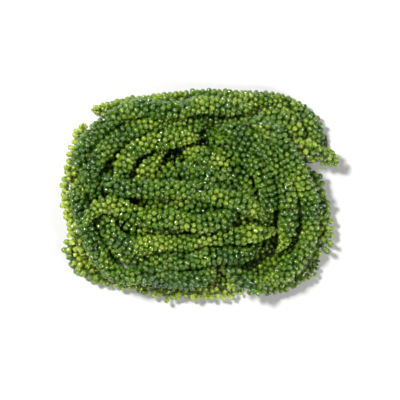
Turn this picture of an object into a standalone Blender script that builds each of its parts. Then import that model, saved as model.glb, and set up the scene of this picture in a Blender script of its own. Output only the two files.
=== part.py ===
"""A clump of sea grapes, the green seaweed whose fronds are covered in round beads.

One creeping runner winds through the clump, and every frond grows from it. A frond is a thin bare foot, a
body covered all round in beads, and a tip that grows thin. The fronds are laid out in layers, as they
lie when the clump rests on a table, and then settled: they keep their length, bend gently, push each
other aside and sink. All lengths are in millimetres until a mesh is made, and Z = 0 is the surface that
the clump lies on.
"""

import math

import bpy
import bmesh
import numpy as np

# Sizes of one frond
BEADED_RADIUS = 4.4
HOLLOW_SHARE = 0.6
FOOT_RADIUS = 0.8
THINNEST_FOOT = 0.4
TIP_SHARE = 0.12
SWELLING_RINGS = 3
TIP_RINGS = 4
BLUNT_TIP_RINGS = 2
BEADS_ROUND = 8
RING_STEP = 3.4
RING_TWIST = math.radians(9)
SMALLEST_BEND = 13.0
FEWEST_BARE_RINGS = 2
MOST_BARE_RINGS = 7

# Sizes of the runner
RUNNER_RADIUS = 1.1
RUNNER_SIDES = 6
RUNNER_LENGTH = 300.0
RUNNER_HEIGHT = 8.8
RUNNER_START = 0.97
RUNNER_INSETS = (20, 30)
RUNNER_WAY_OUT = ((65, 27.5, 1.2), (60, 20, 1.2), (52, 15, 3))
RUNNER_END_RINGS = 4
ROOT_SPACING = 3

# Sizes of the whole clump
HALF_LENGTH = 64.6
HALF_WIDTH = 51.3
MIDDLE_X = -3.6
FURTHEST_X = 69.0
CORNER_RADIUS = 29.0
SMALLEST_CORNER = 8.0
DOME_SLOPE = 0.65
GAP = 0.3
ROOT_GAP = 1.2
FLAT_DEPTH = 0.5
CORNER_CUTS = 3
CORNER_CUT = 0.25
ARC_POINTS = 13
SEED = 45

# Fronds that show at the rim, from foot to tip, as places on the table
RIM_FRONDS = {
    "top": (
        (46, 14), (51.5, 20), (55.5, 27.5), (52.5, 34.5), (44.5, 40.5), (36, 43.8), (26, 44.3),
        (10, 44.6), (-8, 44.8), (-30, 42.4), (-42, 39.5), (-54.5, 40.5),
    ),
    "corner": ((22, 33), (34, 37), (44, 34), (49, 26), (49, 16), (47, 8)),
    "left": ((-49, -32), (-58, -27), (-62.5, -15), (-62.5, 7), (-60, 21), (-57, 35)),
    "near_left": (
        (-57, -15), (-62.5, -24), (-61.5, -33), (-53, -39), (-42, -41),
        (-30, -43), (-15, -46), (2, -47), (13, -46), (22, -45.5),
    ),
    "near_right": ((8, -36), (17, -39), (26, -44.3), (38, -44.6), (48, -37.5), (57, -28)),
    "right": ((46, 14), (53.5, 8), (55.5, -3), (58.5, -12), (60.3, -22), (56.5, -30), (47, -36)),
    "sprig": ((38, 23), (48, 21), (58, 18), (68.5, 13)),
}
OUTSIDE_RIM = ("right", "sprig")
BLUNT_FRONDS = ("sprig",)

# The open notch between two frond tips at the rim
NOTCH = (-55, 38)
NOTCH_RADIUS = 6.0

# Layers of inner fronds: how far in from the rim each ring of fronds lies, and how many share it
LOWER_LANES = ((13.9, 3), (22.7, 2), (31.5, 2), (41.0, 1))
UPPER_LANES = ((9.6, 3), (18.4, 3), (27.2, 2), (36.5, 2), (45.0, 1))
LOWER_HEIGHT = 4.6
UPPER_HEIGHT = 12.6
UPPER_ROUNDING = 8.0
FOOT_INSET = 5.0
TIP_INSET = -2.5
WAVE_TURNS = 1.6
WAVE_REACH = (0.5, 2.5)
END_GAP = 2.0
LONGEST_FROND = 128.0
LENGTH_SHARES = (0.96, 1.0)

# Fronds across the top
TOP_FRONDS = 3
TOP_HEIGHT = 20.8
TOP_STEP = 0.5
TOP_HALF_LENGTH = 44.0
TOP_HALF_WIDTH = 22.0
TOP_HEADING = 0.6
TOP_MIDDLES = (-25, 20)
TOP_FIRST_Y = -24.0
TOP_SPACING = 12.0
TOP_POINTS = 5
TOP_BOW = 30.0
TOP_BOW_SHARE = 0.35
TOP_BOW_ALONG = 0.6

# How the clump settles
ROUNDS = 400
SINKING = 0.2
SPRING = 0.2
PUSH = 0.4
RIM_HOLD = 0.1
INNER_HOLD = 0.01
SINKING_SHARE = 0.8
LINK_SHARE = 0.5
BEND_SHARE = 0.25
STIFF_RINGS = 4
THIN_RADIUS = 2.0
NEAR_RINGS = 6
NEIGHBOUR_ROUNDS = 8
LOOK_AHEAD = 2.5
DECIMALS = 4
TINY = 1e-6

# Meshes are in metres
MM = 0.001
MERGE_DISTANCE = 1e-6

# Skin
FROND_COLOUR = (0.13, 0.26, 0.02, 1.0)
FROND_ROUGHNESS = 0.25
RUNNER_COLOUR = (0.09, 0.17, 0.03, 1.0)
RUNNER_ROUGHNESS = 0.3


class Strand:
    """A frond or the runner: its middle line, its radius at each ring, and what holds it."""

    def __init__(self, name, path, bare_rings=0, root=None):
        self.name = name
        self.path = path
        self.bare_rings = bare_rings
        self.root = root
        is_blunt = name.removeprefix("rim_frond_") in BLUNT_FRONDS
        self.tip_rings = BLUNT_TIP_RINGS if is_blunt else TIP_RINGS

    def radii(self):
        """Outer radius of each ring: thin at the foot, full along the body, and thinner to the tip."""
        count = len(self.path)
        if self.root is None:
            return np.full(count, RUNNER_RADIUS)
        ring = np.arange(count)
        swelling = np.sqrt(np.clip((ring - self.bare_rings + 1) / SWELLING_RINGS, 0, 1))
        fading = TIP_SHARE + (1 - TIP_SHARE) * np.sqrt(np.clip((count - 1 - ring) / self.tip_rings, 0, 1))
        return FOOT_RADIUS + (BEADED_RADIUS - FOOT_RADIUS) * swelling * fading


def lengths(vectors):
    """The length of each row, as a sum that comes out the same on every machine."""
    return np.sqrt(sum(vectors[..., axis] * vectors[..., axis] for axis in range(vectors.shape[-1])))


def along(points, distances):
    """The points at some distances along a line through points."""
    reached = np.concatenate([[0.0], np.cumsum(lengths(np.diff(points, axis=0)))])
    columns = [np.interp(distances, reached, points[:, axis]) for axis in range(points.shape[1])]
    return np.stack(columns, axis=1)


def smooth_path(corners):
    """A line through a few corners with its bends rounded, stepped evenly from ring to ring."""
    points = np.array(corners, float)
    for _ in range(CORNER_CUTS):
        nearer = points[:-1] * (1 - CORNER_CUT) + points[1:] * CORNER_CUT
        further = points[:-1] * CORNER_CUT + points[1:] * (1 - CORNER_CUT)
        between = np.stack([nearer, further], axis=1).reshape(-1, 3)
        points = np.concatenate([points[:1], between, points[-1:]])
    steps = max(round(lengths(np.diff(points, axis=0)).sum() / RING_STEP), 2)
    return along(points, np.arange(steps + 1) * RING_STEP)


def rim(inset, rounding):
    """The clump's outline drawn in by an inset: a rounded rectangle, anticlockwise from the right."""
    half_length = HALF_LENGTH - inset
    half_width = HALF_WIDTH - inset
    corner = min(max(CORNER_RADIUS - inset, SMALLEST_CORNER) + rounding, half_length, half_width)
    points = []
    for quarter, (side_x, side_y) in enumerate(((1, 1), (-1, 1), (-1, -1), (1, -1))):
        for degrees in np.linspace(90 * quarter, 90 * quarter + 90, ARC_POINTS):
            angle = math.radians(degrees)
            x = MIDDLE_X + side_x * (half_length - corner) + corner * math.cos(angle)
            y = side_y * (half_width - corner) + corner * math.sin(angle)
            points.append((x, y))
    return np.array(points + points[:1])


def rim_length(inset, rounding):
    return lengths(np.diff(rim(inset, rounding), axis=0)).sum()


def spiral(start, sense, length, inset_from, inset_to, height, rounding=0.0, wave=0.0, phase=0.0):
    """A line that runs round the clump and draws in or out as it goes, from a share of the way round."""
    steps = int(length / RING_STEP)
    points = []
    turn = start
    for step in range(steps + 1):
        share = step / steps
        inset = inset_from + (inset_to - inset_from) * share
        inset += wave * math.sin(WAVE_TURNS * 2 * math.pi * share + phase)
        whole = rim_length(inset, rounding)
        x, y = along(rim(inset, rounding), [turn % 1.0 * whole])[0]
        points.append((x, y, height))
        turn += sense * RING_STEP / whole
    return np.array(points)


def runner_path():
    """The runner comes out at the right side and winds inwards, between the lower and upper fronds."""
    winding = spiral(RUNNER_START, 1, RUNNER_LENGTH, *RUNNER_INSETS, RUNNER_HEIGHT)
    return smooth_path(np.concatenate([RUNNER_WAY_OUT, winding[2:]]))


def frond_paths():
    """Names and first lines of all fronds, each from the point where its beads start to its tip."""
    draw = np.random.default_rng(SEED)
    for name, places in RIM_FRONDS.items():
        yield f"rim_frond_{name}", smooth_path([(x, y, BEADED_RADIUS) for x, y in places])
    for layer, lanes, height, sense, rounding in (
        ("lower", LOWER_LANES, LOWER_HEIGHT, 1, 0.0),
        ("upper", UPPER_LANES, UPPER_HEIGHT, -1, UPPER_ROUNDING),
    ):
        number = 0
        for inset, sharing in lanes:
            start = draw.uniform()
            for place in range(sharing):
                number += 1
                share_of_rim = rim_length(inset, rounding) / sharing
                length = min(share_of_rim - END_GAP, LONGEST_FROND) * draw.uniform(*LENGTH_SHARES)
                insets = (inset + FOOT_INSET, inset + TIP_INSET)
                wave, phase = draw.uniform(*WAVE_REACH), draw.uniform(0, 2 * math.pi)
                course = (*insets, height, rounding, wave, phase)
                yield f"{layer}_frond_{number:02d}", spiral(start + place / sharing, sense, length, *course)
    for number in range(TOP_FRONDS):
        yield f"top_frond_{number + 1:02d}", top_path(draw, number)


def top_path(draw, number):
    """A frond that lies across the top of the clump in a loose bow."""
    heading = draw.uniform(-TOP_HEADING, TOP_HEADING) + math.pi * (number % 2)
    bow = draw.uniform(-TOP_BOW_SHARE, TOP_BOW_SHARE)
    middle_x = draw.uniform(*TOP_MIDDLES)
    middle_y = TOP_FIRST_Y + TOP_SPACING * number
    corners = []
    for share in np.linspace(-1, 1, TOP_POINTS):
        sideways = TOP_BOW * bow * share * share
        x = middle_x + TOP_HALF_LENGTH * share * math.cos(heading)
        x -= TOP_BOW_ALONG * sideways * math.sin(heading)
        y = middle_y + TOP_HALF_WIDTH * share * math.sin(heading) + sideways * math.cos(heading)
        corners.append((x, y, TOP_HEIGHT + TOP_STEP * number))
    return smooth_path(corners)


def plant():
    """The runner and all fronds on it, each frond led from the nearest free place on the runner."""
    runner = runner_path()
    free = list(range(2 * ROOT_SPACING, len(runner) - 1, ROOT_SPACING))
    strands = [Strand("runner", runner)]
    for name, path in frond_paths():
        root = free.pop(int(np.argmin(lengths(runner[free] - path[0]))))
        side = path[0] - runner[root]
        reach = lengths(side)
        foot = runner[root] + side / reach * (RUNNER_RADIUS + ROOT_GAP)
        halfway = runner[root] + side * 0.5
        whole = smooth_path(np.concatenate([[foot, halfway], path]))
        bare_rings = min(max(int(reach / RING_STEP), FEWEST_BARE_RINGS), MOST_BARE_RINGS)
        strands.append(Strand(name, whole, bare_rings, root))
    return strands


class Clump:
    """All rings of all strands in one array, with what acts on them while the clump settles."""

    def __init__(self, strands):
        sizes = [len(strand.path) for strand in strands]
        self.strands = strands
        self.starts = np.concatenate([[0], np.cumsum(sizes)])
        self.points = np.round(np.concatenate([strand.path for strand in strands]), DECIMALS)
        self.home = self.points.copy()
        self.radii = np.concatenate([strand.radii() for strand in strands])
        self.owner = np.repeat(np.arange(len(strands)), sizes)
        self.ring = np.concatenate([np.arange(size) for size in sizes])
        names = np.array([strand.name for strand in strands])[self.owner]
        way_out = (self.owner == 0) & (self.ring < RUNNER_END_RINGS)
        self.in_place = np.char.startswith(names, "rim_frond") | way_out
        self.may_leave = np.isin(names, [f"rim_frond_{name}" for name in OUTSIDE_RIM])
        self.links = self.link_groups()
        rings = np.arange(len(self.points))
        thin = rings[:-1][(self.owner[:-1] == self.owner[1:]) & (self.radii[:-1] < THIN_RADIUS)]
        self.ends = np.stack([np.concatenate([rings, thin]), np.concatenate([rings, thin + 1])])
        self.bends = np.array([
            (ring, ring + STIFF_RINGS)
            for start, end in zip(self.starts, self.starts[1:])
            for ring in range(start, end - STIFF_RINGS)
        ])

    def link_groups(self):
        """Pairs of neighbouring rings in two groups that share no ring, and each frond's root."""
        inner = np.nonzero(self.owner[:-1] == self.owner[1:])[0]
        roots = [(strand.root, start) for strand, start in zip(self.strands, self.starts) if strand.root]
        groups = [(inner[inner % 2 == odd], inner[inner % 2 == odd] + 1, RING_STEP) for odd in (0, 1)]
        first, second = np.array(roots).T
        return groups + [(first, second, RUNNER_RADIUS + ROOT_GAP)]

    def at_ends(self, values):
        """A value at each place where strands can touch: at every ring, and halfway between thin rings."""
        return (values[self.ends[0]] + values[self.ends[1]]) / 2

    def find_neighbours(self):
        """Pairs of places that could touch soon, apart from those near each other on one strand."""
        places, radii, ring = self.at_ends(self.points), self.at_ends(self.radii), self.at_ends(self.ring)
        owner = self.owner[self.ends[0]]
        apart = sum((places[:, None, axis] - places[None, :, axis]) ** 2 for axis in range(3))
        near = apart < (radii[:, None] + radii[None, :] + GAP + LOOK_AHEAD) ** 2
        once = np.arange(len(places))[:, None] < np.arange(len(places))[None, :]
        joined = (owner[:, None] == owner[None, :]) & (np.abs(ring[:, None] - ring[None, :]) < NEAR_RINGS)
        first, second = np.nonzero(near & once & ~joined)
        return first, second, radii[first] + radii[second] + GAP

    def push_apart(self, first, second, clear):
        """Moves places that are too near each other apart, with the rings at their ends."""
        places = self.at_ends(self.points)
        between = places[second] - places[first]
        distance = np.maximum(lengths(between), TINY)
        move = between * (np.maximum(clear - distance, 0) / distance * PUSH / 2)[:, None]
        for end in self.ends:
            np.add.at(self.points, end[second], move)
            np.add.at(self.points, end[first], -move)

    def pull_together(self, first, second, wanted, share, only_short=False):
        """Moves pairs of rings along the line between them by a share of what they lack to a distance."""
        between = self.points[second] - self.points[first]
        distance = np.maximum(lengths(between), TINY)
        lack = wanted - distance
        if only_short:
            lack = np.maximum(lack, 0)
        move = between * (lack / distance * share)[:, None]
        np.add.at(self.points, second, move)
        np.add.at(self.points, first, -move)

    def straighten(self):
        """Draws each ring towards the middle of its neighbours, as a springy stem does."""
        middle = (self.points[:-2] + self.points[2:]) / 2
        inner = (self.owner[:-2] == self.owner[2:])[:, None]
        self.points[1:-1] += (middle - self.points[1:-1]) * inner * SPRING

    def keep_in_dome(self):
        """Pushes rings in from the rim, further in the higher they lie, and up from the table."""
        inner = np.array([HALF_LENGTH - CORNER_RADIUS, HALF_WIDTH - CORNER_RADIUS])
        offset = self.points[:, :2] - np.array([MIDDLE_X, 0.0])
        beyond = np.clip(np.abs(offset) - inner, 0, None)
        distance = lengths(beyond)
        lean = DOME_SLOPE * np.clip(self.points[:, 2] - BEADED_RADIUS, 0, None)
        outside = np.clip(distance - (CORNER_RADIUS - self.radii - lean), 0, None)
        outside[self.may_leave] = 0
        inwards = beyond / np.maximum(distance, TINY)[:, None] * np.sign(offset)
        self.points[:, :2] -= inwards * np.minimum(outside, distance)[:, None]
        self.points[:, 0] = np.minimum(self.points[:, 0], FURTHEST_X - self.radii)
        lowest = self.radii - FLAT_DEPTH * (self.radii > THIN_RADIUS)
        self.points[:, 2] = np.maximum(self.points[:, 2], lowest)

    def keep_notch_open(self):
        """Pushes inner fronds away from the notch."""
        offset = self.points[:, :2] - np.array(NOTCH)
        distance = np.maximum(lengths(offset), TINY)
        within = np.clip(NOTCH_RADIUS + self.radii - distance, 0, None)
        within[self.in_place] = 0
        self.points[:, :2] += offset * (within / distance)[:, None]

    def settle(self):
        """Lets the clump sink and spread until its strands lie clear of each other."""
        chord = 2 * SMALLEST_BEND * math.sin(STIFF_RINGS * RING_STEP / 2 / SMALLEST_BEND)
        for turn in range(ROUNDS):
            if turn % NEIGHBOUR_ROUNDS == 0:
                first, second, clear = self.find_neighbours()
            sinking = turn < SINKING_SHARE * ROUNDS
            hold = np.where(self.in_place, RIM_HOLD, INNER_HOLD * sinking)[:, None]
            self.points[:, :2] += (self.home[:, :2] - self.points[:, :2]) * hold
            self.points[:, 2] -= SINKING * sinking
            for one, other, step in self.links:
                self.pull_together(one, other, step, LINK_SHARE)
            self.pull_together(self.bends[:, 0], self.bends[:, 1], chord, BEND_SHARE, only_short=True)
            self.straighten()
            self.push_apart(first, second, clear)
            self.keep_in_dome()
            self.keep_notch_open()
            # Rounding stops the last bits, which differ between machines, from growing
            self.points = np.round(self.points, DECIMALS)

    def room(self):
        """The radius that each ring can have with a gap to the strands beside it."""
        middles = (self.points[:-1] + self.points[1:]) / 2
        own = self.owner[:-1] == self.owner[1:]
        places = np.concatenate([self.points, middles[own]])
        rings = np.concatenate([np.arange(len(self.points)), np.nonzero(own)[0]])
        radii = np.concatenate([self.radii, ((self.radii[:-1] + self.radii[1:]) / 2)[own]])
        owners = self.owner[rings]
        room = self.radii.copy()
        for number in range(1, len(self.strands)):
            mine = np.nonzero(owners == number)[0]
            others = np.nonzero(owners != number)[0]
            apart = lengths(places[mine][:, None] - places[others][None, :]) - GAP
            share = radii[mine][:, None] / (radii[mine][:, None] + radii[others][None, :])
            on_runner = (owners[others] == 0)[None, :]
            allowed = np.where(on_runner, apart - RUNNER_RADIUS, apart * share).min(axis=1)
            for place, free in zip(mine, allowed):
                ring = rings[place]
                ends = (ring, ring + 1) if place >= len(self.points) else (ring,)
                for end in ends:
                    room[end] = min(room[end], free)
        return np.maximum(room, THINNEST_FOOT)

    def centre(self, room):
        """Moves the clump's box over the origin. A ring reaches less far along its strand than across."""
        ahead = np.concatenate([self.points[1:], self.points[-1:]])
        behind = np.concatenate([self.points[:1], self.points[:-1]])
        within = np.concatenate([self.owner[1:] == self.owner[:-1], [False]])
        since = np.concatenate([[False], within[:-1]])
        course = np.where(within[:, None], ahead, self.points)
        course -= np.where(since[:, None], behind, self.points)
        course /= lengths(course)[:, None]
        reach = room[:, None] * np.sqrt(np.maximum(1 - course**2, 0))
        low, high = (self.points - reach).min(axis=0), (self.points + reach).max(axis=0)
        self.points[:, :2] -= (low[:2] + high[:2]) / 2


def tube(name, path, radii, sides, twist):
    """A closed tube of quads along a path, made from a bevelled curve. Returns a bmesh in metres."""
    curve = bpy.data.curves.new(name, "CURVE")
    curve.dimensions = "3D"
    curve.bevel_depth = MM
    # A bevel has four sides, and two more for each step of its resolution
    curve.bevel_resolution = sides // 2 - 2
    curve.use_fill_caps = True
    spline = curve.splines.new("POLY")
    spline.points.add(len(path) - 1)
    for number, (point, place, radius) in enumerate(zip(spline.points, path, radii)):
        point.co = (*(place * MM), 1.0)
        point.radius = radius
        point.tilt = twist * number
    guide = bpy.data.objects.new(name, curve)
    bpy.context.scene.collection.objects.link(guide)
    evaluated = guide.evaluated_get(bpy.context.evaluated_depsgraph_get())
    mesh = bpy.data.meshes.new_from_object(evaluated)
    shape = bmesh.new()
    shape.from_mesh(mesh)
    bpy.data.objects.remove(guide)
    bpy.data.curves.remove(curve)
    bpy.data.meshes.remove(mesh)
    return shape


def raise_beads(shape, path, bare_rings):
    """Leaves every other corner of the rings, in a chequered pattern, as a bead and draws in the others."""
    shape.verts.ensure_lookup_table()
    in_caps = len(shape.verts) - BEADS_ROUND * len(path)
    for ring in range(bare_rings, len(path) - 1):
        middle = path[ring] * MM
        for side in range(BEADS_ROUND):
            corner = shape.verts[in_caps + ring * BEADS_ROUND + side]
            if (ring + side) % 2:
                outwards = np.array(corner.co) - middle
                corner.co = middle + outwards * HOLLOW_SHARE


def flatten_underside(shape):
    """Cuts off what would reach below the table, which leaves small flats to rest on."""
    if min(corner.co.z for corner in shape.verts) >= 0:
        return
    bmesh.ops.triangulate(shape, faces=shape.faces[:], quad_method="SHORT_EDGE")
    geometry = shape.verts[:] + shape.edges[:] + shape.faces[:]
    bmesh.ops.bisect_plane(
        shape,
        geom=geometry,
        dist=MERGE_DISTANCE,
        plane_co=(0, 0, 0),
        plane_no=(0, 0, -1),
        clear_outer=True,
    )
    rims = [edge for edge in shape.edges if edge.is_boundary]
    bmesh.ops.triangle_fill(shape, edges=rims, normal=(0, 0, -1), use_beauty=True)
    bmesh.ops.recalc_face_normals(shape, faces=shape.faces[:])


def add_object(name, shape, material, parts):
    """Puts a finished shape into the clump's collection."""
    bmesh.ops.triangulate(shape, faces=shape.faces[:], quad_method="SHORT_EDGE")
    mesh = bpy.data.meshes.new(name)
    shape.to_mesh(mesh)
    shape.free()
    mesh.shade_smooth()
    mesh.materials.append(material)
    parts.objects.link(bpy.data.objects.new(name, mesh))


def wet_green(name, colour, roughness):
    """A plain wet plant skin."""
    material = bpy.data.materials.new(name)
    material.use_nodes = True
    shader = material.node_tree.nodes["Principled BSDF"]
    shader.inputs["Base Color"].default_value = colour
    shader.inputs["Roughness"].default_value = roughness
    return material


def build_strand(strand, path, radii, material, parts):
    """One frond, or the runner, as a closed solid."""
    is_frond = strand.root is not None
    if is_frond:
        shape = tube(strand.name, path, radii, BEADS_ROUND, RING_TWIST)
        raise_beads(shape, path, strand.bare_rings)
    else:
        shape = tube(strand.name, path, radii, RUNNER_SIDES, 0)
    bmesh.ops.remove_doubles(shape, verts=shape.verts[:], dist=MERGE_DISTANCE)
    flatten_underside(shape)
    add_object(strand.name, shape, material, parts)


def main():
    for thing in list(bpy.data.objects):
        bpy.data.objects.remove(thing)
    parts = bpy.data.collections.new("sea_grapes_clump")
    bpy.context.scene.collection.children.link(parts)
    frond_skin = wet_green("frond", FROND_COLOUR, FROND_ROUGHNESS)
    runner_skin = wet_green("runner", RUNNER_COLOUR, RUNNER_ROUGHNESS)
    clump = Clump(plant())
    clump.settle()
    room = clump.room()
    clump.centre(room)
    for strand, start, end in zip(clump.strands, clump.starts, clump.starts[1:]):
        skin = runner_skin if strand.root is None else frond_skin
        build_strand(strand, clump.points[start:end], room[start:end], skin, parts)


main()
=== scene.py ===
"""The look of a clump of sea grapes that lies on a pale table.

Every frond is rebuilt with round beads on short stalks all round a thin stem, along the same middle line
as its solid, and the beads are then nested so that they touch without sinking into each other. The layout
of the fronds is worked out again here from the numbers that the solids were made with. Lengths are in
millimetres until a mesh is made.
"""

import math
import bpy
import bmesh
import numpy as np
from mathutils import Matrix, Vector, kdtree


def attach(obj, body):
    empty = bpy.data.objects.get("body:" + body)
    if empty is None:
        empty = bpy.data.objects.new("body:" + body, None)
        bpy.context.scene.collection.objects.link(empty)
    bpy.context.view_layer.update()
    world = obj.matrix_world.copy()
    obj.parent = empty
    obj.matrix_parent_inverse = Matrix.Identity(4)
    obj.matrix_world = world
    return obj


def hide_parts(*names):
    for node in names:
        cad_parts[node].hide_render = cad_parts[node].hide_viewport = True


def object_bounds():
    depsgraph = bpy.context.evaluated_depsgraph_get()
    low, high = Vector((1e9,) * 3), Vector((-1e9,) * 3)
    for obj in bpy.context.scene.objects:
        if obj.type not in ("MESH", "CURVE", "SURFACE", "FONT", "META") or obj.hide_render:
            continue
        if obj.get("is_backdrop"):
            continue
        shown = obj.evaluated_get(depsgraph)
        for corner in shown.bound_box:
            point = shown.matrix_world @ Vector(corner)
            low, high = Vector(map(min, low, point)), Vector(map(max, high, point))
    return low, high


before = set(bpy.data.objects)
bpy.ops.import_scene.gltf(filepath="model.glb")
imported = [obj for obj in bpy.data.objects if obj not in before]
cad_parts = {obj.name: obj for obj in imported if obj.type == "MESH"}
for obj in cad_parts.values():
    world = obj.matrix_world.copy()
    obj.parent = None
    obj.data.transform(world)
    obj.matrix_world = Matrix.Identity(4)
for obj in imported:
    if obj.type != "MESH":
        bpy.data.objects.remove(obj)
cad_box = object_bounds()

# Sizes of one frond
BEADED_RADIUS = 4.4
FOOT_RADIUS = 0.8
THINNEST_FOOT = 0.4
TIP_SHARE = 0.12
SWELLING_RINGS = 3
TIP_RINGS = 4
BLUNT_TIP_RINGS = 2
RING_STEP = 3.4
SMALLEST_BEND = 13.0
FEWEST_BARE_RINGS = 2
MOST_BARE_RINGS = 7

# Sizes of the runner
RUNNER_RADIUS = 1.1
RUNNER_LENGTH = 300.0
RUNNER_HEIGHT = 8.8
RUNNER_START = 0.97
RUNNER_INSETS = (20, 30)
RUNNER_WAY_OUT = ((65, 27.5, 1.2), (60, 20, 1.2), (52, 15, 3))
RUNNER_END_RINGS = 4
ROOT_SPACING = 3

# Sizes of the whole clump
HALF_LENGTH = 64.6
HALF_WIDTH = 51.3
MIDDLE_X = -3.6
FURTHEST_X = 69.0
CORNER_RADIUS = 29.0
SMALLEST_CORNER = 8.0
DOME_SLOPE = 0.65
GAP = 0.3
ROOT_GAP = 1.2
FLAT_DEPTH = 0.5
CORNER_CUTS = 3
CORNER_CUT = 0.25
ARC_POINTS = 13
SEED = 45

# Fronds that show at the rim, from foot to tip, as places on the table
RIM_FRONDS = {
    "top": (
        (46, 14), (51.5, 20), (55.5, 27.5), (52.5, 34.5), (44.5, 40.5), (36, 43.8), (26, 44.3),
        (10, 44.6), (-8, 44.8), (-30, 42.4), (-42, 39.5), (-54.5, 40.5),
    ),
    "corner": ((22, 33), (34, 37), (44, 34), (49, 26), (49, 16), (47, 8)),
    "left": ((-49, -32), (-58, -27), (-62.5, -15), (-62.5, 7), (-60, 21), (-57, 35)),
    "near_left": (
        (-57, -15), (-62.5, -24), (-61.5, -33), (-53, -39), (-42, -41),
        (-30, -43), (-15, -46), (2, -47), (13, -46), (22, -45.5),
    ),
    "near_right": ((8, -36), (17, -39), (26, -44.3), (38, -44.6), (48, -37.5), (57, -28)),
    "right": ((46, 14), (53.5, 8), (55.5, -3), (58.5, -12), (60.3, -22), (56.5, -30), (47, -36)),
    "sprig": ((38, 23), (48, 21), (58, 18), (68.5, 13)),
}
OUTSIDE_RIM = ("right", "sprig")
BLUNT_FRONDS = ("sprig",)

# The open notch between two frond tips at the rim
NOTCH = (-55, 38)
NOTCH_RADIUS = 6.0

# Layers of inner fronds: how far in from the rim each ring of fronds lies, and how many share it
LOWER_LANES = ((13.9, 3), (22.7, 2), (31.5, 2), (41.0, 1))
UPPER_LANES = ((9.6, 3), (18.4, 3), (27.2, 2), (36.5, 2), (45.0, 1))
LOWER_HEIGHT = 4.6
UPPER_HEIGHT = 12.6
UPPER_ROUNDING = 8.0
FOOT_INSET = 5.0
TIP_INSET = -2.5
WAVE_TURNS = 1.6
WAVE_REACH = (0.5, 2.5)
END_GAP = 2.0
LONGEST_FROND = 128.0
LENGTH_SHARES = (0.96, 1.0)

# Fronds across the top
TOP_FRONDS = 3
TOP_HEIGHT = 20.8
TOP_STEP = 0.5
TOP_HALF_LENGTH = 44.0
TOP_HALF_WIDTH = 22.0
TOP_HEADING = 0.6
TOP_MIDDLES = (-25, 20)
TOP_FIRST_Y = -24.0
TOP_SPACING = 12.0
TOP_POINTS = 5
TOP_BOW = 30.0
TOP_BOW_SHARE = 0.35
TOP_BOW_ALONG = 0.6

# How the clump settles
ROUNDS = 400
SINKING = 0.2
SPRING = 0.2
PUSH = 0.4
RIM_HOLD = 0.1
INNER_HOLD = 0.01
SINKING_SHARE = 0.8
LINK_SHARE = 0.5
BEND_SHARE = 0.25
STIFF_RINGS = 4
THIN_RADIUS = 2.0
NEAR_RINGS = 6
NEIGHBOUR_ROUNDS = 8
LOOK_AHEAD = 2.5
DECIMALS = 4
TINY = 1e-6

# Meshes are in metres
MM = 0.001

# Lines along the stems
LINE_STEP = 1.1
FEWEST_STEPS = 4
CURVE_PIECES = 6
FIRST_ASIDE = (0.3, 0.2, 0.9)

# One bead of radius 1, with the angles of its rings from the crown down and its neck below them
BEAD_SIDES = 10
BEAD_RINGS = (31, 62, 93, 124, 152)
NECK_RADIUS = 0.24
NECK_DEPTH = 1.6
WELD_DISTANCE = 1e-5

# Sizes of the beads
BEAD_RADIUS = 1.42
BEAD_SIZES = (0.84, 1.12)
SMALLEST_BEAD = 0.5
SMALLEST_FOOT_BEAD = 0.8
SHRINK_POWER = 0.8
TIP_BEAD_RADIUS = BEAD_RADIUS * SMALLEST_BEAD * 1.1

# Where the beads sit on a stem
OUTER_RADIUS = 4.75
EARLIER_RINGS = 0.6
TIP_ROOM = 0.6 * BEAD_RADIUS
WHORL_STEP = 1.84
WHORL_TURN = 0.1
SIDE_STEP = 2.16
FEWEST_IN_WHORL = 3
BEAD_TURN = 0.3
BEAD_SHIFT = 0.55
BEAD_REACH = (-0.55, 0.3)
STEM_SHARE = 0.6
BEAD_SHARE = 0.9
FOOT_DEPTH = 0.5
LEAN = 0.35
LOOSE_FRONDS = {"left": 1.2, "near_left": 1.2, "near_right": 1.15, "right": 1.15, "sprig": 1.05}
LOOSE_REACH = (-0.7, 0.9)
STRAY_SHARE = 0.07
STRAY_REACH = (1.2, 2.4)
BEAD_SEED = 4

# How the beads nest
NEST_ROUNDS = 48
NEST_SEARCH_ROUNDS = 8
NEST_REACH = 2.3 * BEAD_RADIUS
NEST_PUSH = 0.42
NEST_SPRING = 0.06
TOUCH_SHARE = 0.97
STALK_CHANGE = (0.82, 1.12)

# Stems
STEM_RADIUS = 0.85
STEM_SIDES = 6
STEM_TAPER = 14.0
THINNEST_STEM = 0.4
STEM_FLARE = 0.35
FLARE_LENGTH = 1.5
RUNNER_SIDES = 8
RUNNER_SHARE = 0.96
RUNNER_SWELLING = 0.16
SWELLING_LENGTH = 2.0
RUNNER_WAVES = ((0.05, 3.1), (0.03, 1.3))

# Picture
FRAME_WIDTH = 192.0
FRAME_MIDDLE_Y = -2.64
FRAME_HEIGHT = 5.0
LENS = 100.0
SENSOR = 36.0
NEAREST_SEEN = 10.0

# Colours, as linear red, green and blue
# How yellow each layer, rim frond and tip is: partly the fronds' own tone, partly painted light and shade,
# with rim fronds, tips, the left fronds and the sprig yellower as painted light, lower layers darker as
# painted shade, and the top and corner fronds darker
RIPENESS_AND_LIGHT = {"rim": 0.54, "lower": 0.32, "upper": 0.36, "top": 0.4}
FROND_RIPENESS_AND_LIGHT = {"top": -0.1, "corner": -0.1, "left": 0.42, "near_left": 0.36, "sprig": 0.18}
TIP_RIPENESS_AND_LIGHT = 0.26
FROND_CHANGE = 0.1
BEAD_CHANGE = 0.09
STEM_RIPENESS = 0.4
RUNNER_RIPENESS = 0.22
# The stems' and runner's steady height on the beads' scale of painted shade and light, from neck to crown
STEM_CROWN = 0.6
FROND_COLOURS = (
    (0.0, (0.040, 0.150, 0.005)),
    (0.35, (0.125, 0.300, 0.010)),
    (0.65, (0.290, 0.480, 0.020)),
    (1.0, (0.620, 0.800, 0.080)),
)
RUNNER_COLOURS = ((0.0, (0.05, 0.12, 0.01)), (1.0, (0.2, 0.32, 0.04)))
WHITE = (1.0, 1.0, 1.0, 1.0)

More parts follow.
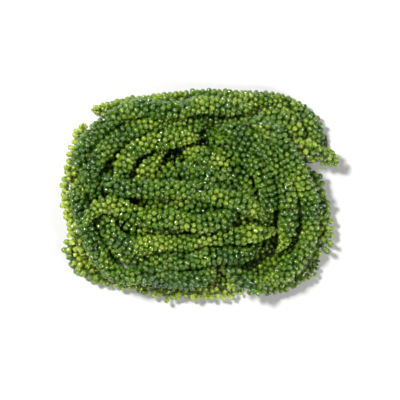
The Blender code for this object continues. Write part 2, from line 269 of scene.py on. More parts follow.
# Skin
NOISE_SPAN = (0.3, 0.7)
CLOUD_SCALE = 700.0
CLOUD_DETAIL = 3.0
CLOUD_SHADES = (0.8, 1.15)
PATCH_SCALE = 75.0
PATCH_DETAIL = 1.0
PATCH_CHANGE = 0.25
# Painted shade and light on each bead: darker at its neck, lighter at its crown
PAINTED_NECK_SHADE = 0.35
PAINTED_CROWN_LIGHT = 1.15
FROND_ROUGHNESS = 0.2
RUNNER_ROUGHNESS = 0.3
ROUGHNESS_CHANGE = 0.08
SKIN = {
    "Transmission Weight": 0.75,
    "Subsurface Weight": 0.5,
    "Subsurface Radius": (1.0, 1.3, 0.3),
    "Subsurface Scale": 0.0015,
    "IOR": 1.4,
    "Coat Weight": 0.7,
    "Coat Roughness": 0.03,
    "Coat IOR": 1.55,
}

# Table and light
TABLE_HALF = 4000.0
TABLE_DROP = 0.02
TABLE_COLOUR = (0.46, 0.46, 0.455)
TABLE_ROUGHNESS = 0.6
TABLE_GLOW = 0.62
GLOW_FROM = (1.0, 9.0)
ROOM_LIGHT = 0.15
HORIZON_LIGHT = 0.75
HORIZON_BAND = (0.1, 0.4)
LIGHTS = (
    ("key", (-300, 220, 580), 110, 9.0),
    ("fill", (380, -260, 420), 200, 3.0),
)


class Strand:
    """A frond or the runner: its middle line, its radius at each ring, and what holds it."""

    def __init__(self, name, path, bare_rings=0, root=None):
        self.name = name
        self.path = path
        self.bare_rings = bare_rings
        self.root = root
        is_blunt = name.removeprefix("rim_frond_") in BLUNT_FRONDS
        self.tip_rings = BLUNT_TIP_RINGS if is_blunt else TIP_RINGS

    def radii(self):
        """Outer radius of each ring: thin at the foot, full along the body, and thinner to the tip."""
        count = len(self.path)
        if self.root is None:
            return np.full(count, RUNNER_RADIUS)
        ring = np.arange(count)
        swelling = np.sqrt(np.clip((ring - self.bare_rings + 1) / SWELLING_RINGS, 0, 1))
        fading = TIP_SHARE + (1 - TIP_SHARE) * np.sqrt(np.clip((count - 1 - ring) / self.tip_rings, 0, 1))
        return FOOT_RADIUS + (BEADED_RADIUS - FOOT_RADIUS) * swelling * fading


def lengths(vectors):
    """The length of each row, as a sum that comes out the same on every machine."""
    return np.sqrt(sum(vectors[..., axis] * vectors[..., axis] for axis in range(vectors.shape[-1])))


def along(points, distances):
    """The points at some distances along a line through points."""
    reached = np.concatenate([[0.0], np.cumsum(lengths(np.diff(points, axis=0)))])
    columns = [np.interp(distances, reached, points[:, axis]) for axis in range(points.shape[1])]
    return np.stack(columns, axis=1)


def smooth_path(corners):
    """A line through a few corners with its bends rounded, stepped evenly from ring to ring."""
    points = np.array(corners, float)
    for _ in range(CORNER_CUTS):
        nearer = points[:-1] * (1 - CORNER_CUT) + points[1:] * CORNER_CUT
        further = points[:-1] * CORNER_CUT + points[1:] * (1 - CORNER_CUT)
        between = np.stack([nearer, further], axis=1).reshape(-1, 3)
        points = np.concatenate([points[:1], between, points[-1:]])
    steps = max(round(lengths(np.diff(points, axis=0)).sum() / RING_STEP), 2)
    return along(points, np.arange(steps + 1) * RING_STEP)


def rim(inset, rounding):
    """The clump's outline drawn in by an inset: a rounded rectangle, anticlockwise from the right."""
    half_length = HALF_LENGTH - inset
    half_width = HALF_WIDTH - inset
    corner = min(max(CORNER_RADIUS - inset, SMALLEST_CORNER) + rounding, half_length, half_width)
    points = []
    for quarter, (side_x, side_y) in enumerate(((1, 1), (-1, 1), (-1, -1), (1, -1))):
        for degrees in np.linspace(90 * quarter, 90 * quarter + 90, ARC_POINTS):
            angle = math.radians(degrees)
            x = MIDDLE_X + side_x * (half_length - corner) + corner * math.cos(angle)
            y = side_y * (half_width - corner) + corner * math.sin(angle)
            points.append((x, y))
    return np.array(points + points[:1])


def rim_length(inset, rounding):
    return lengths(np.diff(rim(inset, rounding), axis=0)).sum()


def spiral(start, sense, length, inset_from, inset_to, height, rounding=0.0, wave=0.0, phase=0.0):
    """A line that runs round the clump and draws in or out as it goes, from a share of the way round."""
    steps = int(length / RING_STEP)
    points = []
    turn = start
    for step in range(steps + 1):
        share = step / steps
        inset = inset_from + (inset_to - inset_from) * share
        inset += wave * math.sin(WAVE_TURNS * 2 * math.pi * share + phase)
        whole = rim_length(inset, rounding)
        x, y = along(rim(inset, rounding), [turn % 1.0 * whole])[0]
        points.append((x, y, height))
        turn += sense * RING_STEP / whole
    return np.array(points)


def runner_path():
    """The runner comes out at the right side and winds inwards, between the lower and upper fronds."""
    winding = spiral(RUNNER_START, 1, RUNNER_LENGTH, *RUNNER_INSETS, RUNNER_HEIGHT)
    return smooth_path(np.concatenate([RUNNER_WAY_OUT, winding[2:]]))


def frond_paths():
    """Names and first lines of all fronds, each from the point where its beads start to its tip."""
    draw = np.random.default_rng(SEED)
    for name, places in RIM_FRONDS.items():
        yield f"rim_frond_{name}", smooth_path([(x, y, BEADED_RADIUS) for x, y in places])
    for layer, lanes, height, sense, rounding in (
        ("lower", LOWER_LANES, LOWER_HEIGHT, 1, 0.0),
        ("upper", UPPER_LANES, UPPER_HEIGHT, -1, UPPER_ROUNDING),
    ):
        number = 0
        for inset, sharing in lanes:
            start = draw.uniform()
            for place in range(sharing):
                number += 1
                share_of_rim = rim_length(inset, rounding) / sharing
                length = min(share_of_rim - END_GAP, LONGEST_FROND) * draw.uniform(*LENGTH_SHARES)
                insets = (inset + FOOT_INSET, inset + TIP_INSET)
                wave, phase = draw.uniform(*WAVE_REACH), draw.uniform(0, 2 * math.pi)
                course = (*insets, height, rounding, wave, phase)
                yield f"{layer}_frond_{number:02d}", spiral(start + place / sharing, sense, length, *course)
    for number in range(TOP_FRONDS):
        yield f"top_frond_{number + 1:02d}", top_path(draw, number)


def top_path(draw, number):
    """A frond that lies across the top of the clump in a loose bow."""
    heading = draw.uniform(-TOP_HEADING, TOP_HEADING) + math.pi * (number % 2)
    bow = draw.uniform(-TOP_BOW_SHARE, TOP_BOW_SHARE)
    middle_x = draw.uniform(*TOP_MIDDLES)
    middle_y = TOP_FIRST_Y + TOP_SPACING * number
    corners = []
    for share in np.linspace(-1, 1, TOP_POINTS):
        sideways = TOP_BOW * bow * share * share
        x = middle_x + TOP_HALF_LENGTH * share * math.cos(heading)
        x -= TOP_BOW_ALONG * sideways * math.sin(heading)
        y = middle_y + TOP_HALF_WIDTH * share * math.sin(heading) + sideways * math.cos(heading)
        corners.append((x, y, TOP_HEIGHT + TOP_STEP * number))
    return smooth_path(corners)


def plant():
    """The runner and all fronds on it, each frond led from the nearest free place on the runner."""
    runner = runner_path()
    free = list(range(2 * ROOT_SPACING, len(runner) - 1, ROOT_SPACING))
    strands = [Strand("runner", runner)]
    for name, path in frond_paths():
        root = free.pop(int(np.argmin(lengths(runner[free] - path[0]))))
        side = path[0] - runner[root]
        reach = lengths(side)
        foot = runner[root] + side / reach * (RUNNER_RADIUS + ROOT_GAP)
        halfway = runner[root] + side * 0.5
        whole = smooth_path(np.concatenate([[foot, halfway], path]))
        bare_rings = min(max(int(reach / RING_STEP), FEWEST_BARE_RINGS), MOST_BARE_RINGS)
        strands.append(Strand(name, whole, bare_rings, root))
    return strands


class Clump:
    """All rings of all strands in one array, with what acts on them while the clump settles."""

    def __init__(self, strands):
        sizes = [len(strand.path) for strand in strands]
        self.strands = strands
        self.starts = np.concatenate([[0], np.cumsum(sizes)])
        self.points = np.round(np.concatenate([strand.path for strand in strands]), DECIMALS)
        self.home = self.points.copy()
        self.radii = np.concatenate([strand.radii() for strand in strands])
        self.owner = np.repeat(np.arange(len(strands)), sizes)
        self.ring = np.concatenate([np.arange(size) for size in sizes])
        names = np.array([strand.name for strand in strands])[self.owner]
        way_out = (self.owner == 0) & (self.ring < RUNNER_END_RINGS)
        self.in_place = np.char.startswith(names, "rim_frond") | way_out
        self.may_leave = np.isin(names, [f"rim_frond_{name}" for name in OUTSIDE_RIM])
        self.links = self.link_groups()
        rings = np.arange(len(self.points))
        thin = rings[:-1][(self.owner[:-1] == self.owner[1:]) & (self.radii[:-1] < THIN_RADIUS)]
        self.ends = np.stack([np.concatenate([rings, thin]), np.concatenate([rings, thin + 1])])
        self.bends = np.array([
            (ring, ring + STIFF_RINGS)
            for start, end in zip(self.starts, self.starts[1:])
            for ring in range(start, end - STIFF_RINGS)
        ])

    def link_groups(self):
        """Pairs of neighbouring rings in two groups that share no ring, and each frond's root."""
        inner = np.nonzero(self.owner[:-1] == self.owner[1:])[0]
        roots = [(strand.root, start) for strand, start in zip(self.strands, self.starts) if strand.root]
        groups = [(inner[inner % 2 == odd], inner[inner % 2 == odd] + 1, RING_STEP) for odd in (0, 1)]
        first, second = np.array(roots).T
        return groups + [(first, second, RUNNER_RADIUS + ROOT_GAP)]

    def at_ends(self, values):
        """A value at each place where strands can touch: at every ring, and halfway between thin rings."""
        return (values[self.ends[0]] + values[self.ends[1]]) / 2

    def find_neighbours(self):
        """Pairs of places that could touch soon, apart from those near each other on one strand."""
        places, radii, ring = self.at_ends(self.points), self.at_ends(self.radii), self.at_ends(self.ring)
        owner = self.owner[self.ends[0]]
        apart = sum((places[:, None, axis] - places[None, :, axis]) ** 2 for axis in range(3))
        near = apart < (radii[:, None] + radii[None, :] + GAP + LOOK_AHEAD) ** 2
        once = np.arange(len(places))[:, None] < np.arange(len(places))[None, :]
        joined = (owner[:, None] == owner[None, :]) & (np.abs(ring[:, None] - ring[None, :]) < NEAR_RINGS)
        first, second = np.nonzero(near & once & ~joined)
        return first, second, radii[first] + radii[second] + GAP

    def push_apart(self, first, second, clear):
        """Moves places that are too near each other apart, with the rings at their ends."""
        places = self.at_ends(self.points)
        between = places[second] - places[first]
        distance = np.maximum(lengths(between), TINY)
        move = between * (np.maximum(clear - distance, 0) / distance * PUSH / 2)[:, None]
        for end in self.ends:
            np.add.at(self.points, end[second], move)
            np.add.at(self.points, end[first], -move)

    def pull_together(self, first, second, wanted, share, only_short=False):
        """Moves pairs of rings along the line between them by a share of what they lack to a distance."""
        between = self.points[second] - self.points[first]
        distance = np.maximum(lengths(between), TINY)
        lack = wanted - distance
        if only_short:
            lack = np.maximum(lack, 0)
        move = between * (lack / distance * share)[:, None]
        np.add.at(self.points, second, move)
        np.add.at(self.points, first, -move)

    def straighten(self):
        """Draws each ring towards the middle of its neighbours, as a springy stem does."""
        middle = (self.points[:-2] + self.points[2:]) / 2
        inner = (self.owner[:-2] == self.owner[2:])[:, None]
        self.points[1:-1] += (middle - self.points[1:-1]) * inner * SPRING

    def keep_in_dome(self):
        """Pushes rings in from the rim, further in the higher they lie, and up from the table."""
        inner = np.array([HALF_LENGTH - CORNER_RADIUS, HALF_WIDTH - CORNER_RADIUS])
        offset = self.points[:, :2] - np.array([MIDDLE_X, 0.0])
        beyond = np.clip(np.abs(offset) - inner, 0, None)
        distance = lengths(beyond)
        lean = DOME_SLOPE * np.clip(self.points[:, 2] - BEADED_RADIUS, 0, None)
        outside = np.clip(distance - (CORNER_RADIUS - self.radii - lean), 0, None)
        outside[self.may_leave] = 0
        inwards = beyond / np.maximum(distance, TINY)[:, None] * np.sign(offset)
        self.points[:, :2] -= inwards * np.minimum(outside, distance)[:, None]
        self.points[:, 0] = np.minimum(self.points[:, 0], FURTHEST_X - self.radii)
        lowest = self.radii - FLAT_DEPTH * (self.radii > THIN_RADIUS)
        self.points[:, 2] = np.maximum(self.points[:, 2], lowest)

    def keep_notch_open(self):
        """Pushes inner fronds away from the notch."""
        offset = self.points[:, :2] - np.array(NOTCH)
        distance = np.maximum(lengths(offset), TINY)
        within = np.clip(NOTCH_RADIUS + self.radii - distance, 0, None)
        within[self.in_place] = 0
        self.points[:, :2] += offset * (within / distance)[:, None]

    def settle(self):
        """Lets the clump sink and spread until its strands lie clear of each other."""
        chord = 2 * SMALLEST_BEND * math.sin(STIFF_RINGS * RING_STEP / 2 / SMALLEST_BEND)
        for turn in range(ROUNDS):
            if turn % NEIGHBOUR_ROUNDS == 0:
                first, second, clear = self.find_neighbours()
            sinking = turn < SINKING_SHARE * ROUNDS
            hold = np.where(self.in_place, RIM_HOLD, INNER_HOLD * sinking)[:, None]
            self.points[:, :2] += (self.home[:, :2] - self.points[:, :2]) * hold
            self.points[:, 2] -= SINKING * sinking
            for one, other, step in self.links:
                self.pull_together(one, other, step, LINK_SHARE)
            self.pull_together(self.bends[:, 0], self.bends[:, 1], chord, BEND_SHARE, only_short=True)
            self.straighten()
            self.push_apart(first, second, clear)
            self.keep_in_dome()
            self.keep_notch_open()
            # Rounding stops the last bits, which differ between machines, from growing
            self.points = np.round(self.points, DECIMALS)

    def room(self):
        """The radius that each ring can have with a gap to the strands beside it."""
        middles = (self.points[:-1] + self.points[1:]) / 2
        own = self.owner[:-1] == self.owner[1:]
        places = np.concatenate([self.points, middles[own]])
        rings = np.concatenate([np.arange(len(self.points)), np.nonzero(own)[0]])
        radii = np.concatenate([self.radii, ((self.radii[:-1] + self.radii[1:]) / 2)[own]])
        owners = self.owner[rings]
        room = self.radii.copy()
        for number in range(1, len(self.strands)):
            mine = np.nonzero(owners == number)[0]
            others = np.nonzero(owners != number)[0]
            apart = lengths(places[mine][:, None] - places[others][None, :]) - GAP
            share = radii[mine][:, None] / (radii[mine][:, None] + radii[others][None, :])
            on_runner = (owners[others] == 0)[None, :]
            allowed = np.where(on_runner, apart - RUNNER_RADIUS, apart * share).min(axis=1)
            for place, free in zip(mine, allowed):
                ring = rings[place]
                ends = (ring, ring + 1) if place >= len(self.points) else (ring,)
                for end in ends:
                    room[end] = min(room[end], free)
        return np.maximum(room, THINNEST_FOOT)

    def centre(self, room):
        """Moves the clump's box over the origin. A ring reaches less far along its strand than across."""
        ahead = np.concatenate([self.points[1:], self.points[-1:]])
        behind = np.concatenate([self.points[:1], self.points[:-1]])
        within = np.concatenate([self.owner[1:] == self.owner[:-1], [False]])
        since = np.concatenate([[False], within[:-1]])
        course = np.where(within[:, None], ahead, self.points)
        course -= np.where(since[:, None], behind, self.points)
        course /= lengths(course)[:, None]
        reach = room[:, None] * np.sqrt(np.maximum(1 - course**2, 0))
        low, high = (self.points - reach).min(axis=0), (self.points + reach).max(axis=0)
        self.points[:, :2] -= (low[:2] + high[:2]) / 2


class Line:
    """A smooth line along a strand: places, courses and steady sideways directions, LINE_STEP apart."""

    def __init__(self, path, room):
        fine = rounded(np.column_stack([path, room]))
        reached = np.concatenate([[0.0], np.cumsum(lengths(np.diff(fine[:, :3], axis=0)))])
        self.length = reached[-1]
        self.steps = np.linspace(0, self.length, max(round(self.length / LINE_STEP), FEWEST_STEPS) + 1)
        columns = [np.interp(self.steps, reached, fine[:, column]) for column in range(4)]
        self.places = np.stack(columns[:3], axis=1)
        self.room = columns[3]
        course = np.gradient(self.places, axis=0)
        self.courses = course / lengths(course)[:, None]
        self.sides = steady_sides(self.courses)

    def at(self, distance):
        """Place, course, sideways direction and room at a distance along the line."""
        share = np.clip(distance / self.length * (len(self.steps) - 1), 0, len(self.steps) - 1)
        low = min(int(share), len(self.steps) - 2)
        part = share - low
        mixed = [
            values[low] * (1 - part) + values[low + 1] * part
            for values in (self.places, self.courses, self.sides, self.room)
        ]
        place, course, side, room = mixed
        course = course / lengths(course)
        side = side - course * (side * course).sum()
        return place, course, side / lengths(side), room


def rounded(points):
    """A line that passes through points and bends evenly between them (a Catmull-Rom curve)."""
    ends = [points[:1] * 2 - points[1:2], points, points[-1:] * 2 - points[-2:-1]]
    padded = np.concatenate(ends)
    before, start, end, after = padded[:-3], padded[1:-2], padded[2:-1], padded[3:]
    share = np.linspace(0, 1, CURVE_PIECES, endpoint=False)[None, :, None]
    before, start, end, after = (part[:, None, :] for part in (before, start, end, after))
    curve = 0.5 * (
        2 * start
        + (end - before) * share
        + (2 * before - 5 * start + 4 * end - after) * share**2
        + (3 * start - before - 3 * end + after) * share**3
    )
    return np.concatenate([curve.reshape(-1, points.shape[1]), points[-1:]])


def steady_sides(courses):
    """A direction across each course that turns as little as possible from one to the next."""
    side = np.cross(courses[0], FIRST_ASIDE)
    sides = []
    for course in courses:
        side = side - course * (side * course).sum()
        side = side / lengths(side)
        sides.append(side)
    return np.array(sides)


def bead_places(strand, line, draw):
    """For each bead of a frond: its foot on the stem, its middle, its radius and its share of the way."""
    place_at_rim = strand.name.removeprefix("rim_frond_")
    is_loose = place_at_rim in LOOSE_FRONDS
    loose = LOOSE_FRONDS.get(place_at_rim, 1.0)
    stretch = LOOSE_REACH if is_loose else BEAD_REACH
    stem = stem_radii(line)
    feet, middles, radii, shares = [], [], [], []
    distance = (strand.bare_rings - EARLIER_RINGS) * RING_STEP + RUNNER_RADIUS + ROOT_GAP
    turn = draw.uniform(0, 2 * math.pi)
    while distance < line.length - TIP_ROOM:
        place, course, side, room = line.at(distance)
        outer = room * OUTER_RADIUS / BEADED_RADIUS
        smallest = SMALLEST_BEAD if distance > line.length / 2 else SMALLEST_FOOT_BEAD
        radius = BEAD_RADIUS * min(max((outer / OUTER_RADIUS) ** SHRINK_POWER, smallest), 1.0)
        stem_radius = np.interp(distance, line.steps, stem)
        reach = max(outer - radius, STEM_SHARE * stem_radius + BEAD_SHARE * radius)
        count = max(round(2 * math.pi * reach / (SIDE_STEP * radius * loose)), FEWEST_IN_WHORL)
        across = np.cross(course, side)
        for number in range(count):
            angle = turn + 2 * math.pi * (number + draw.uniform(-BEAD_TURN, BEAD_TURN)) / count
            outwards = side * math.cos(angle) + across * math.sin(angle)
            foot = place + course * draw.uniform(-BEAD_SHIFT, BEAD_SHIFT)
            strays = is_loose and draw.uniform() < STRAY_SHARE
            extra = draw.uniform(*(STRAY_REACH if strays else stretch))
            feet.append(foot + outwards * stem_radius * FOOT_DEPTH)
            middles.append(foot + outwards * (reach + extra) + course * LEAN)
            radii.append(radius * draw.uniform(*BEAD_SIZES))
            shares.append(distance / line.length)
        turn += math.pi / count + draw.uniform(-WHORL_TURN, WHORL_TURN)
        distance += WHORL_STEP * radius * loose
    place, course, side, room = line.at(line.length)
    feet.append(place - course * BEAD_RADIUS)
    middles.append(place)
    radii.append(TIP_BEAD_RADIUS)
    shares.append(1.0)
    return np.array(feet), np.array(middles), np.array(radii), np.array(shares)


def near_pairs(middles, reach):
    """Pairs of beads whose middles are nearer than a reach."""
    tree = kdtree.KDTree(len(middles))
    for number, middle in enumerate(middles):
        tree.insert(middle, number)
    tree.balance()
    pairs = [
        (number, other)
        for number, middle in enumerate(middles)
        for _, other, _ in tree.find_range(middle, reach)
        if other > number
    ]
    return np.array(sorted(pairs)).T


def nest(feet, middles, radii):
    """Moves beads that sink into each other apart, each held near its place on a stalk of its length."""
    home = np.round(middles, DECIMALS)
    middles = home.copy()
    stalk = lengths(home - feet)
    shortest, longest = stalk * STALK_CHANGE[0], stalk * STALK_CHANGE[1]
    for turn in range(NEST_ROUNDS):
        if turn % NEST_SEARCH_ROUNDS == 0:
            first, second = near_pairs(middles, NEST_REACH)
            clear = (radii[first] + radii[second]) * TOUCH_SHARE
        between = middles[second] - middles[first]
        distance = np.maximum(lengths(between), TINY)
        move = between * (np.maximum(clear - distance, 0) / distance * NEST_PUSH)[:, None]
        np.add.at(middles, second, move)
        np.add.at(middles, first, -move)
        middles += (home - middles) * NEST_SPRING
        out = middles - feet
        reach = lengths(out)
        middles = feet + out * (np.clip(reach, shortest, longest) / reach)[:, None]
        middles[:, 2] = np.maximum(middles[:, 2], radii)
        middles = np.round(middles, DECIMALS)
    return middles


def sort_parts(parts, key):
    """Sorts the corners, edges or faces of a shape by a key, and numbers them in that order."""
    for number, part in enumerate(sorted(parts, key=key)):
        part.index = number
    parts.sort()
    parts.index_update()


def put_in_order(shape):
    """Puts all parts of a shape in one order, because operators leave them in another in each run."""
    sort_parts(shape.verts, lambda corner: tuple(corner.co))
    for parts in (shape.edges, shape.faces):
        sort_parts(parts, lambda part: sorted(corner.index for corner in part.verts))


def bead_shape():
    """One bead of radius 1 round the origin, its crown at +Z and an open neck below: a profile turned
    round Z. Returns it with the numbers of its neck's corners."""
    shape = bmesh.new()
    profile = [(0.0, 1.0)]
    profile += [(math.sin(math.radians(turn)), math.cos(math.radians(turn))) for turn in BEAD_RINGS]
    profile.append((NECK_RADIUS, -NECK_DEPTH))
    corners = [shape.verts.new((across, 0, height)) for across, height in profile]
    edges = [shape.edges.new(pair) for pair in zip(corners, corners[1:])]
    bmesh.ops.spin(
        shape,
        geom=corners + edges,
        axis=(0, 0, 1),
        cent=(0, 0, 0),
        angle=2 * math.pi,
        steps=BEAD_SIDES,
        use_merge=True,
    )
    bmesh.ops.remove_doubles(shape, verts=shape.verts[:], dist=WELD_DISTANCE)
    bmesh.ops.recalc_face_normals(shape, faces=shape.faces[:])
    put_in_order(shape)
    neck = [corner.index for corner in shape.verts if corner.co.z < -1]
    return shape, neck


def across_line(place, course, side, radius):
    """The matrix that stands a shape of radius 1 across a line, at a place in millimetres."""
    columns = [side * radius, np.cross(course, side) * radius, course * radius, place]
    return Matrix([*(np.column_stack(columns) * MM).tolist(), [0, 0, 0, 1]])


def add_stem(shape, line, radii, sides):
    """Fills an empty shape with a closed round stem along a line: a circle, extruded from step to step,
    with both ends filled. The stem is raised where it would sink into the table."""
    places = line.places.copy()
    places[:, 2] = np.maximum(places[:, 2], radii)
    matrices = [across_line(*values) for values in zip(places, line.courses, line.sides, radii)]
    bmesh.ops.create_circle(shape, segments=sides, radius=1, matrix=matrices[0])
    edges = shape.edges[:]
    for before, after in zip(matrices, matrices[1:]):
        made = bmesh.ops.extrude_edge_only(shape, edges=edges)["geom"]
        corners = [part for part in made if isinstance(part, bmesh.types.BMVert)]
        edges = [part for part in made if isinstance(part, bmesh.types.BMEdge)]
        bmesh.ops.transform(shape, matrix=after @ before.inverted(), verts=corners)
    bmesh.ops.holes_fill(shape, edges=[edge for edge in shape.edges if edge.is_boundary], sides=sides)
    bmesh.ops.recalc_face_normals(shape, faces=shape.faces[:])
    put_in_order(shape)


def add_bead(shape, bead, neck, carrier, foot, middle, radius):
    """Puts a copy of the bead in place, its crown pointing away from its foot and its neck led to it."""
    single = bead.copy()
    single.verts.ensure_lookup_table()
    turned = Vector(middle - foot).to_track_quat("Z", "Y").to_matrix().to_4x4()
    placed = Matrix.Translation(Vector(middle) * MM) @ turned @ Matrix.Scale(radius * MM, 4)
    bmesh.ops.transform(single, matrix=placed, verts=single.verts[:])
    downwards = Vector(foot) * MM - placed @ Vector((0, 0, -NECK_DEPTH))
    bmesh.ops.translate(single, vec=downwards, verts=[single.verts[number] for number in neck])
    single.to_mesh(carrier)
    single.free()
    shape.from_mesh(carrier, face_normals=False, vertex_normals=False)


def add_values(mesh, name, values):
    """Stores one number for each corner of a mesh, for its material to read."""
    attribute = mesh.attributes.new(name, "FLOAT", "POINT")
    attribute.data.foreach_set("value", np.asarray(values, np.float32))


def finished(name, shape, node, material):
    """Makes a piece of a finished shape that stands for a node of the frame."""
    mesh = bpy.data.meshes.new(name)
    shape.to_mesh(mesh)
    shape.free()
    mesh.shade_smooth()
    mesh.materials.append(material)
    piece = bpy.data.objects.new(name, mesh)
    bpy.context.scene.collection.objects.link(piece)
    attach(piece, "root")
    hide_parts(node)
    return piece


def stem_radii(line):
    """A stem keeps its thickness up to near the tip, and is a little thicker where it leaves the runner."""
    to_tip = (line.length - line.steps) / STEM_TAPER
    flare = 1 + STEM_FLARE * np.exp(-line.steps / FLARE_LENGTH)
    return STEM_RADIUS * np.clip(to_tip, THINNEST_STEM, 1) * flare


def ripeness_with_painted_light(name, shares, draw):
    """How yellow each bead is, from 0 to 1, partly its own tone and partly painted light: fronds at the rim
    and tips are made yellower as painted light, lower layers darker as painted shade, the left fronds and
    the sprig yellower and the top and corner fronds darker, and each frond and bead varies at random.
    """
    layer = name.split("_")[0]
    frond = RIPENESS_AND_LIGHT[layer] + FROND_RIPENESS_AND_LIGHT.get(name.removeprefix("rim_frond_"), 0)
    frond += draw.uniform(-FROND_CHANGE, FROND_CHANGE)
    return np.clip(frond + TIP_RIPENESS_AND_LIGHT * shares**2 + draw.normal(0, BEAD_CHANGE, len(shares)), 0, 1)


def build_frond(strand, line, feet, middles, radii, ripeness, bead, neck, material):
    """A frond's stem with all its beads as one piece, and the crown heights and yellowness that its skin
    reads:
    the heights for painted shade at each neck and painted light at each crown, the yellowness with painted
    light in it.
    """
    shape = bmesh.new()
    add_stem(shape, line, stem_radii(line), STEM_SIDES)
    on_stem = len(shape.verts)
    carrier = bpy.data.meshes.new("carrier")
    for foot, middle, radius in zip(feet, middles, radii):
        add_bead(shape, bead, neck, carrier, foot, middle, radius)
    bpy.data.meshes.remove(carrier)
    piece = finished(f"{strand.name}_beads", shape, strand.name, material)
    # Each corner's height from neck to crown, which the skin turns into painted shade at the neck and
    # painted light at the crown
    heights = np.array([corner.co.z for corner in bead.verts])
    crowns = np.tile((heights + NECK_DEPTH) / (1 + NECK_DEPTH), len(radii))
    add_values(piece.data, "crown", np.concatenate([np.full(on_stem, STEM_CROWN), crowns]))
    on_beads = np.repeat(ripeness, len(heights))
    add_values(piece.data, "ripeness", np.concatenate([np.full(on_stem, STEM_RIPENESS), on_beads]))


def build_runner(line, roots, material):
    """The runner, a little thicker where a frond leaves it and uneven in between."""
    from_root = np.abs(line.steps[:, None] - np.array(roots)[None, :] * RING_STEP).min(axis=1)
    swelling = RUNNER_SWELLING * np.exp(-((from_root / SWELLING_LENGTH) ** 2))
    uneven = sum(height * np.sin(line.steps / length) for height, length in RUNNER_WAVES)
    shape = bmesh.new()
    add_stem(shape, line, RUNNER_RADIUS * (RUNNER_SHARE + swelling + uneven), RUNNER_SIDES)
    piece = finished("runner_stem", shape, "runner", material)
    # One steady height on the scale of painted shade, and the runner's own tone
    add_values(piece.data, "crown", np.full(len(piece.data.vertices), STEM_CROWN))
    add_values(piece.data, "ripeness", np.full(len(piece.data.vertices), RUNNER_RIPENESS))


class Nodes:
    """Adds nodes to a material or a world, and links them to its shader."""

    def __init__(self, holder):
        holder.use_nodes = True
        self.tree = holder.node_tree
        shaders = ("BSDF_PRINCIPLED", "BACKGROUND")
        self.shader = next(node for node in self.tree.nodes if node.type in shaders)

    def add(self, kind, settings=None, **inputs):
        """A new node. An input is named as in Blender, with _ for a space, or by its number as in _0."""
        node = self.tree.nodes.new(kind)
        for name, value in (settings or {}).items():
            setattr(node, name, value)
        for name, value in inputs.items():
            key = int(name[1:]) if name[1:].isdigit() else name.replace("_", " ")
            self.feed(node.inputs[key], value)
        return node

    def feed(self, socket, value):
        """Links another node's output to a socket, or sets a constant value on it."""
        if isinstance(value, bpy.types.NodeSocket):
            self.tree.links.new(value, socket)
        else:
            socket.default_value = value


def noise(nodes, place, scale, detail):
    """Soft noise round places, mostly between the two values of NOISE_SPAN."""
    return nodes.add("ShaderNodeTexNoise", Vector=place, Scale=scale, Detail=detail).outputs["Fac"]


def remap(nodes, value, before, after):
    """A value carried over from one range, which it is kept within, to another."""
    ranges = dict(zip(("From_Min", "From_Max", "To_Min", "To_Max"), (*before, *after)))
    return nodes.add("ShaderNodeMapRange", Value=value, **ranges).outputs["Result"]


def ramp(nodes, share, stops):
    """Colours between stops, each a share and a linear colour."""
    node = nodes.add("ShaderNodeValToRGB", Fac=share)
    colours = node.color_ramp.elements
    while len(colours) < len(stops):
        colours.new(0.5)
    for element, (place, colour) in zip(colours, stops):
        element.position = place
        element.color = (*colour, 1.0)
    return node.outputs["Color"]


def plant_skin(name, stops, roughness):
    """Wet, translucent skin. Its colour runs from deep to ripe green, with painted light in how yellow it
    is.
    It has painted shade down at each bead's neck and painted light on its crown, and it has faint clouds in
    it, as the green grains inside a bead lie unevenly."""
    material = bpy.data.materials.new(name)
    nodes = Nodes(material)
    place = nodes.add("ShaderNodeTexCoord").outputs["Object"]
    ripeness = nodes.add("ShaderNodeAttribute", {"attribute_name": "ripeness"}).outputs["Fac"]
    crown = nodes.add("ShaderNodeAttribute", {"attribute_name": "crown"}).outputs["Fac"]
    clouds = noise(nodes, place, CLOUD_SCALE, CLOUD_DETAIL)
    patches = noise(nodes, place, PATCH_SCALE, PATCH_DETAIL)
    patchy = remap(nodes, patches, NOISE_SPAN, (-PATCH_CHANGE, PATCH_CHANGE))
    # Yellowness with its painted light, plus patches of random tone
    riper_and_lit = nodes.add("ShaderNodeMath", {"operation": "ADD"}, _0=ripeness, _1=patchy)
    colour = ramp(nodes, riper_and_lit.outputs[0], stops)
    # Painted shade at each bead's neck and painted light at its crown, from the corner's height
    painted_shade = remap(nodes, crown, (0, 1), (PAINTED_NECK_SHADE, PAINTED_CROWN_LIGHT))
    cloudy = remap(nodes, clouds, NOISE_SPAN, CLOUD_SHADES)
    both = nodes.add("ShaderNodeMath", {"operation": "MULTIPLY"}, _0=painted_shade, _1=cloudy)
    scaled = {"Vector": colour, "Scale": both.outputs[0]}
    darkened = nodes.add("ShaderNodeVectorMath", {"operation": "SCALE"}, **scaled)
    nodes.feed(nodes.shader.inputs["Base Color"], darkened.outputs["Vector"])
    uneven = remap(nodes, clouds, (0, 1), (roughness - ROUGHNESS_CHANGE, roughness + ROUGHNESS_CHANGE))
    nodes.feed(nodes.shader.inputs["Roughness"], uneven)
    for socket, value in SKIN.items():
        nodes.shader.inputs[socket].default_value = value
    return material


def table_top():
    """A pale table that glows faintly far from the clump, so that it fades into the room."""
    material = bpy.data.materials.new("table")
    nodes = Nodes(material)
    nodes.shader.inputs["Base Color"].default_value = (*TABLE_COLOUR, 1.0)
    nodes.shader.inputs["Roughness"].default_value = TABLE_ROUGHNESS
    place = nodes.add("ShaderNodeTexCoord").outputs["Object"]
    reach = (HALF_LENGTH * MM, HALF_WIDTH * MM, 1.0)
    share = nodes.add("ShaderNodeVectorMath", {"operation": "DIVIDE"}, _0=place, _1=reach).outputs["Vector"]
    out = nodes.add("ShaderNodeVectorMath", {"operation": "LENGTH"}, Vector=share).outputs["Value"]
    nodes.feed(nodes.shader.inputs["Emission Strength"], remap(nodes, out, GLOW_FROM, (0, TABLE_GLOW)))
    nodes.shader.inputs["Emission Color"].default_value = WHITE
    return material


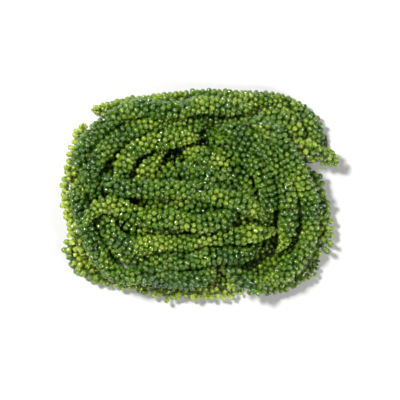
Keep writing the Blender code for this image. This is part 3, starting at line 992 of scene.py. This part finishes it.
def set_table():
    """A wide table, just below the clump so that none of its flats lies in the table's own plane."""
    shape = bmesh.new()
    bmesh.ops.create_grid(shape, x_segments=1, y_segments=1, size=TABLE_HALF * MM)
    mesh = bpy.data.meshes.new("table")
    shape.to_mesh(mesh)
    shape.free()
    mesh.materials.append(table_top())
    table = bpy.data.objects.new("table", mesh)
    bpy.context.scene.collection.objects.link(table)
    table.location.z = -TABLE_DROP * MM
    table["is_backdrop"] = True


def add_light(name, place, size, power):
    """A square soft light that faces the clump."""
    lamp = bpy.data.lights.new(name, "AREA")
    lamp.size = size * MM
    lamp.energy = power
    light = bpy.data.objects.new(name, lamp)
    light.location = Vector(place) * MM
    light.rotation_euler = light.location.to_track_quat("Z", "Y").to_euler()
    bpy.context.scene.collection.objects.link(light)


def set_light():
    for name, place, size, power in LIGHTS:
        add_light(name, place, size, power)
    bpy.context.scene.world = pale_room()
    bpy.context.scene.view_settings.view_transform = "Standard"


def pale_room():
    """A white room that is dim overhead and pale round the horizon."""
    world = bpy.data.worlds.new("room")
    nodes = Nodes(world)
    course = nodes.add("ShaderNodeTexCoord").outputs["Generated"]
    height = nodes.add("ShaderNodeSeparateXYZ", Vector=course).outputs["Z"]
    light = remap(nodes, height, HORIZON_BAND, (HORIZON_LIGHT, ROOM_LIGHT))
    nodes.feed(nodes.shader.inputs["Strength"], light)
    nodes.shader.inputs["Color"].default_value = WHITE
    return world


def set_camera():
    """Straight above the clump, so far up that the picture is FRAME_WIDTH wide at the rim fronds."""
    camera = bpy.data.cameras.new("above")
    camera.lens = LENS
    camera.sensor_width = SENSOR
    camera.clip_start = NEAREST_SEEN * MM
    stand = bpy.data.objects.new("above", camera)
    height = FRAME_HEIGHT + FRAME_WIDTH * LENS / SENSOR
    stand.location = (0, FRAME_MIDDLE_Y * MM, height * MM)
    bpy.context.scene.collection.objects.link(stand)
    bpy.context.scene.camera = stand


def build_clump():
    """Works out the layout and the beads of all fronds, then builds every piece."""
    clump = Clump(plant())
    clump.settle()
    room = clump.room()
    clump.centre(room)
    draw = np.random.default_rng(BEAD_SEED)
    frond_skin = plant_skin("frond_skin", FROND_COLOURS, FROND_ROUGHNESS)
    runner_skin = plant_skin("runner_skin", RUNNER_COLOURS, RUNNER_ROUGHNESS)
    runner = clump.points[: clump.starts[1]]
    roots = [strand.root for strand in clump.strands[1:]]
    build_runner(Line(runner, room[: len(runner)]), roots, runner_skin)
    fronds, places = [], []
    for strand, start, end in zip(clump.strands[1:], clump.starts[1:], clump.starts[2:]):
        path = np.concatenate([runner[strand.root][None], clump.points[start:end]])
        line = Line(path, np.concatenate([room[start : start + 1], room[start:end]]))
        fronds.append((strand, line))
        places.append(bead_places(strand, line, draw))
    feet, middles, radii, shares = (np.concatenate(column) for column in zip(*places))
    middles = nest(feet, middles, radii)
    bead, neck = bead_shape()
    ends = np.cumsum([len(place[0]) for place in places])
    for (strand, line), end, place in zip(fronds, ends, places):
        own = slice(end - len(place[0]), end)
        ripeness = ripeness_with_painted_light(strand.name, shares[own], draw)
        build_frond(strand, line, feet[own], middles[own], radii[own], ripeness, bead, neck, frond_skin)
    bead.free()


build_clump()
set_table()
set_light()
set_camera()
boxes = {"cad": cad_box, "visual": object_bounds()}
{name: [list(corner) for corner in box] for name, box in boxes.items()}
